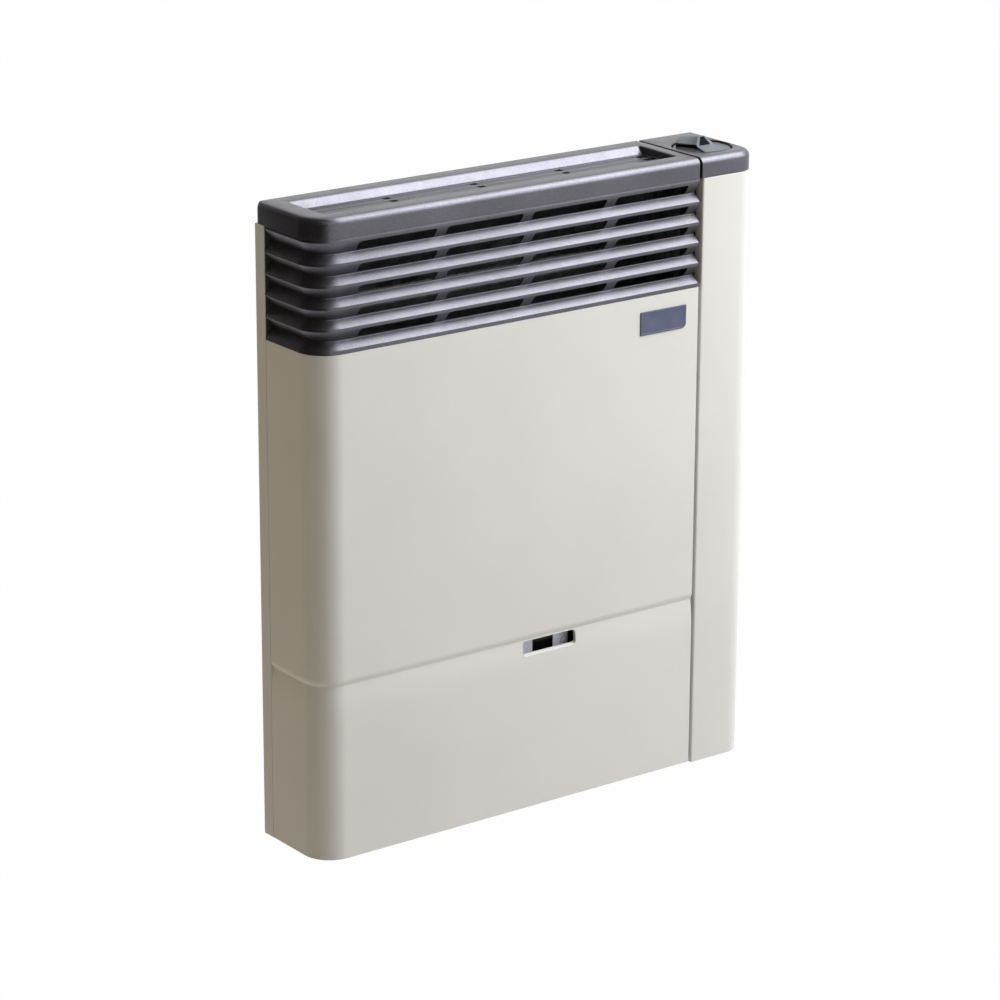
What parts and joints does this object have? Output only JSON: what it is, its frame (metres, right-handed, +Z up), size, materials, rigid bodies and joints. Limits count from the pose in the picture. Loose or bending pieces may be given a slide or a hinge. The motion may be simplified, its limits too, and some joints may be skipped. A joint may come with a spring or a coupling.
{
  "type": "wall mounted gas heater",
  "caption": "Flat wall-mounted balanced-flue gas heater with a louvred top, a sight window and a push-and-turn knob on a side column.",
  "frame": {"origin": "centre of the four wall-fixing holes, on the wall plane", "axes": "+Z up, +X to the right seen from the room, -Y out of the wall into the room"},
  "size_m": [0.595, 0.1542, 0.7285],
  "materials": {
    "painted_sheet": "satin powder coat, warm off-white",
    "graphite_paint": "satin metallic graphite",
    "black_enamel": "matte heat-proof enamel",
    "galvanised_sheet": "galvanised",
    "bright_frame": "satin",
    "plated_steel": "zinc plated",
    "spring_steel": "bright",
    "cast_aluminium": "cast",
    "aluminium_pipe": "drawn",
    "brass": "machined",
    "copper": "drawn",
    "white_ceramic": "glazed",
    "seal_fibre": "woven mineral fibre",
    "red_rubber": "smooth",
    "sight_glass": "clear over a dark chamber",
    "badge_blue": "satin blue-grey",
    "black_plastic": "moulded",
    "knob_plastic": "satin grey"
  },
  "bodies": {
    "case": {"rear_frame": "painted_sheet", "rear_shield": "galvanised_sheet", "chamber_brackets": "galvanised_sheet", "chamber_back": "black_enamel", "chamber_gasket": "seal_fibre", "chamber_front": "black_enamel", "chamber_bolts": "plated_steel", "exhaust_duct": "galvanised_sheet", "air_duct": "galvanised_sheet", "duct_seals": "seal_fibre", "window_gasket": "seal_fibre", "window_glass": "sight_glass", "window_frame": "bright_frame", "window_screws": "plated_steel", "burner_tube": "plated_steel", "burner_bracket": "plated_steel", "injector_holder": "brass", "injector": "brass", "pilot_bracket": "plated_steel", "pilot_burner": "brass", "thermocouple": "copper", "spark_electrode": "white_ceramic", "lead_seal": "seal_fibre", "pilot_pipe": "copper", "thermocouple_lead": "copper", "spark_lead": "red_rubber", "burner_pipe": "aluminium_pipe", "gas_inlet_pipe": "aluminium_pipe", "inlet_union": "brass", "inlet_shelf": "galvanised_sheet", "gas_valve": "cast_aluminium", "valve_bracket": "galvanised_sheet", "valve_screws": "plated_steel", "piezo_igniter": "black_plastic", "partition_plate": "galvanised_sheet", "cover_arms": "galvanised_sheet", "front_cover": "painted_sheet", "cover_screws": "plated_steel", "column_cover": "painted_sheet", "heat_deflector": "galvanised_sheet", "louvre_grille": "graphite_paint", "top_cap": "graphite_paint", "column_cap": "graphite_paint", "cap_screws": "plated_steel", "badge_plate": "badge_blue", "return_spring": "spring_steel"},
    "plunger": {"push_collar": "plated_steel"},
    "knob": {"control_knob": "knob_plastic", "knob_spindle": "plated_steel"}
  },
  "joints": [
    {"name": "knob_push", "type": "slide", "parent": "case", "child": "plunger", "axis": [0, 0, -1], "range_m": [0, 0.005], "stiffness_N_per_m": 600, "springref_m": -0.004, "deforming": ["return_spring"]},
    {"name": "knob_turn", "type": "hinge", "parent": "plunger", "child": "knob", "pos_m": [0.25575, -0.064, 0.34], "axis": [0, 0, 1], "range_deg": [0, 200]}
  ]
}
